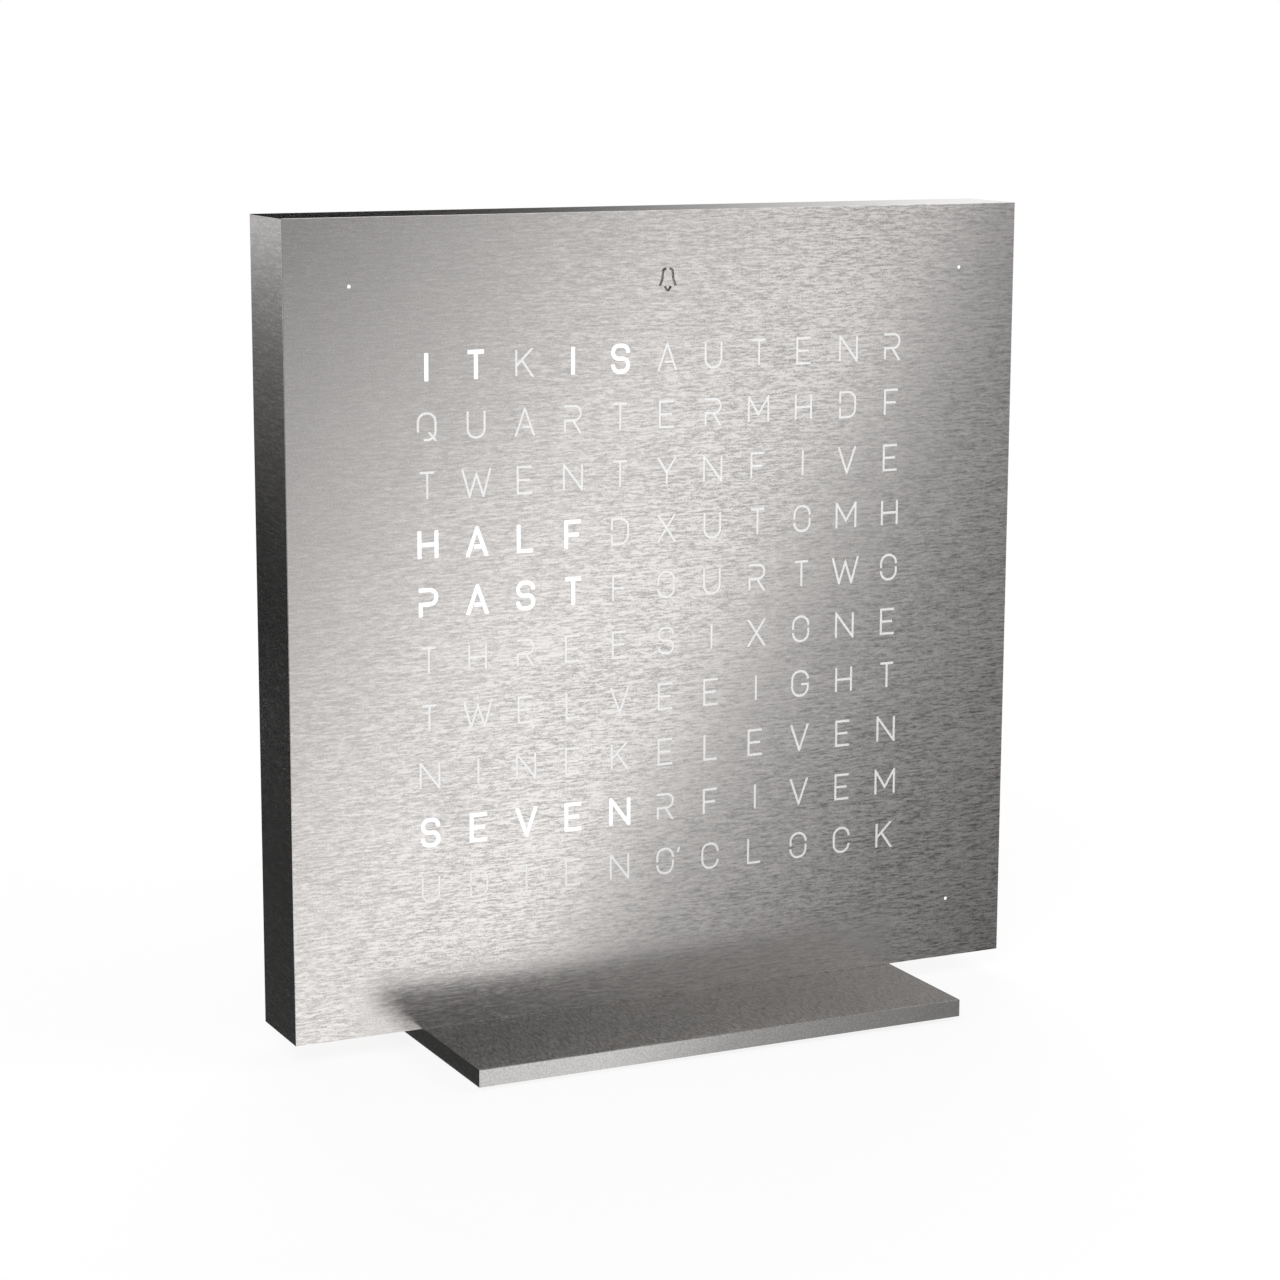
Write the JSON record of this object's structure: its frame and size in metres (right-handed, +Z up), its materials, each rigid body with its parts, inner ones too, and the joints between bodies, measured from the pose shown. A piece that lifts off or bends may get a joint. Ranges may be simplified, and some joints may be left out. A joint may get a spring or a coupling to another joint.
{
  "type": "word clock",
  "caption": "Square desk clock with a brushed steel face whose cut-out letters light up to spell the time, on a flat steel base plate, with push buttons on its rear cover.",
  "frame": {"origin": "middle of the base plate's footprint, on the surface that the pads stand on", "axes": "+X to the right as the face is read, +Y from the face towards the rear, +Z up"},
  "size_m": [0.135, 0.06, 0.1388],
  "materials": {
    "brushed_steel": "brushed along the width, satin",
    "plated_steel": "bright plated",
    "screw_steel": "dark turned steel",
    "white_plastic": "matt, translucent white",
    "board_laminate": "green solder mask",
    "lamp_body": "white lamp packages",
    "black_resin": "moulded resin, matt",
    "can_aluminium": "plain drawn aluminium",
    "ferrite": "sintered, matt",
    "black_plastic": "fine moulded texture, matt",
    "button_plastic": "smooth, satin",
    "spring_bronze": "bare spring bronze",
    "pad_rubber": "matt silicone"
  },
  "bodies": {
    "clock": {"front_cover": "brushed_steel", "cover_studs": "plated_steel", "diffuser_sheet": "white_plastic", "light_grid": "white_plastic", "led_board": "board_laminate", "lamps": "lamp_body", "controller_chip": "black_resin", "driver_chips": "black_resin", "clock_crystal": "plated_steel", "board_capacitors": "can_aluminium", "voltage_regulator": "black_resin", "power_coil": "ferrite", "coin_cell_holder": "black_plastic", "coin_cell": "plated_steel", "cell_clip": "plated_steel", "buzzer": "black_plastic", "touch_spring": "spring_bronze", "board_screws": "plated_steel", "power_socket": "plated_steel", "socket_tongue": "black_resin", "rear_cover": "black_plastic", "rear_screws": "screw_steel", "button_switches": "black_resin", "base_plate": "brushed_steel", "base_screws": "screw_steel", "stand_bar": "can_aluminium", "base_pads": "pad_rubber"},
    "function_key": {"function_button": "button_plastic", "function_plunger": "white_plastic"},
    "plus_key": {"plus_button": "button_plastic", "plus_plunger": "white_plastic"},
    "minus_key": {"minus_button": "button_plastic", "minus_plunger": "white_plastic"}
  },
  "joints": [
    {"name": "function_press", "type": "slide", "parent": "clock", "child": "function_key", "axis": [0, -1, 0], "range_m": [0, 0.0005], "stiffness_N_per_m": 400, "springref_m": -0.0005},
    {"name": "plus_press", "type": "slide", "parent": "clock", "child": "plus_key", "axis": [0, -1, 0], "range_m": [0, 0.0005], "stiffness_N_per_m": 400, "springref_m": -0.0005},
    {"name": "minus_press", "type": "slide", "parent": "clock", "child": "minus_key", "axis": [0, -1, 0], "range_m": [0, 0.0005], "stiffness_N_per_m": 400, "springref_m": -0.0005}
  ]
}
